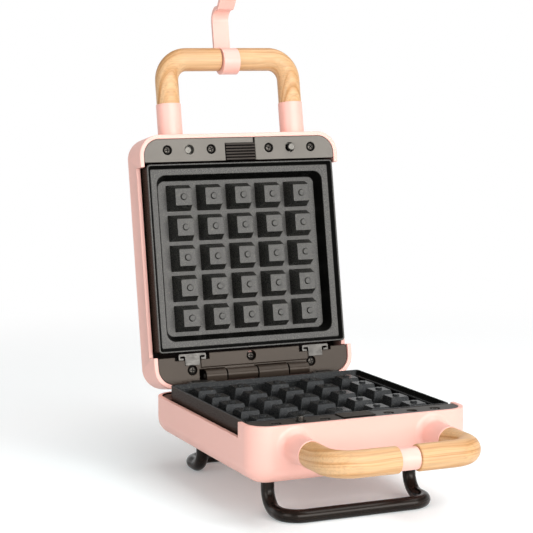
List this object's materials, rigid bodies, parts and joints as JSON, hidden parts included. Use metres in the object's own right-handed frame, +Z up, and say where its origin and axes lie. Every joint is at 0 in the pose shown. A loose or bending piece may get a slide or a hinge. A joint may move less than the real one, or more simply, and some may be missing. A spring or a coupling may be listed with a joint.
{
  "type": "waffle maker",
  "caption": "Compact hinged waffle maker with pegged grid plates, looped wood handles, a swing clip and bent-rod feet, shown open.",
  "frame": {"origin": "on the table, under the middle of the open object's box", "axes": "+Z up, -Y towards the lower handle, +X to the right when seen from the handle"},
  "size_m": [0.138, 0.2734, 0.2997],
  "materials": {
    "pink_plastic": "smooth satin pink moulding",
    "coated_plate": "charcoal speckled non-stick coating on a cast plate",
    "taupe_plastic": "smooth warm grey moulding",
    "bright_steel": "bright sprung sheet",
    "dark_steel": "blackened screws",
    "tray_aluminium": "plain pressed sheet",
    "plain_steel": "plain steel",
    "light_wood": "light oiled wood with fine grain along the bar",
    "core_plastic": "plain moulding",
    "black_rod": "black semi-gloss coating",
    "soft_rubber": "soft grommet",
    "lens_plastic": "clear tinted lens"
  },
  "bodies": {
    "base": {"base_front_strip": "taupe_plastic", "base_heating_element": "plain_steel", "base_hinge_sill": "taupe_plastic", "base_plate": "coated_plate", "base_plate_clips": "bright_steel", "base_release_spring": "bright_steel", "base_shell": "pink_plastic", "base_sill_screws": "dark_steel", "base_strip_pins": "bright_steel", "base_strip_screws": "dark_steel", "base_thermostat": "plain_steel", "base_tray": "tray_aluminium", "base_tray_screws": "dark_steel", "cord_gland": "soft_rubber", "foot_screws": "dark_steel", "front_foot": "black_rod", "hinge_pin": "plain_steel", "lower_handle_band": "pink_plastic", "lower_handle_bolts": "dark_steel", "lower_handle_dowel": "core_plastic", "lower_handle_left": "light_wood", "lower_handle_right": "light_wood", "rear_foot": "black_rod", "terminal_block": "core_plastic", "thermal_fuse": "plain_steel"},
    "lid": {"indicator_lenses": "lens_plastic", "lid_cover_screws": "dark_steel", "lid_front_strip": "taupe_plastic", "lid_heating_element": "plain_steel", "lid_hinge_cover": "taupe_plastic", "lid_plate": "coated_plate", "lid_plate_clips": "bright_steel", "lid_release_spring": "bright_steel", "lid_shell": "pink_plastic", "lid_strip_pins": "bright_steel", "lid_strip_screws": "dark_steel", "lid_thermostat": "plain_steel", "lid_tray": "tray_aluminium", "lid_tray_screws": "dark_steel", "upper_handle_bolts": "dark_steel", "upper_handle_dowel": "core_plastic", "upper_handle_left": "light_wood", "upper_handle_right": "light_wood"},
    "handle_clip": {"handle_clip": "pink_plastic"},
    "lid_release": {"lid_release_button": "taupe_plastic"},
    "base_release": {"base_release_button": "taupe_plastic"}
  },
  "joints": [
    {"name": "lid_hinge", "type": "hinge", "parent": "base", "child": "lid", "pos_m": [0, 0.07581, 0.058], "axis": [1, 0, 0], "range_deg": [0, 99.7]},
    {"name": "clip_swing", "type": "hinge", "parent": "lid", "child": "handle_clip", "pos_m": [0, 0.12316, 0.25788], "axis": [1, 0, 0], "range_deg": [-120, 90]},
    {"name": "lid_release_slide", "type": "slide", "parent": "lid", "child": "lid_release", "axis": [0, 0.1685, 0.9857], "range_m": [0, 0.003], "stiffness_N_per_m": 800, "springref_m": -0.001, "deforming": ["lid_release_spring"]},
    {"name": "base_release_slide", "type": "slide", "parent": "base", "child": "base_release", "axis": [0, -1, 0], "range_m": [0, 0.003], "stiffness_N_per_m": 800, "springref_m": -0.001, "deforming": ["base_release_spring"]}
  ]
}
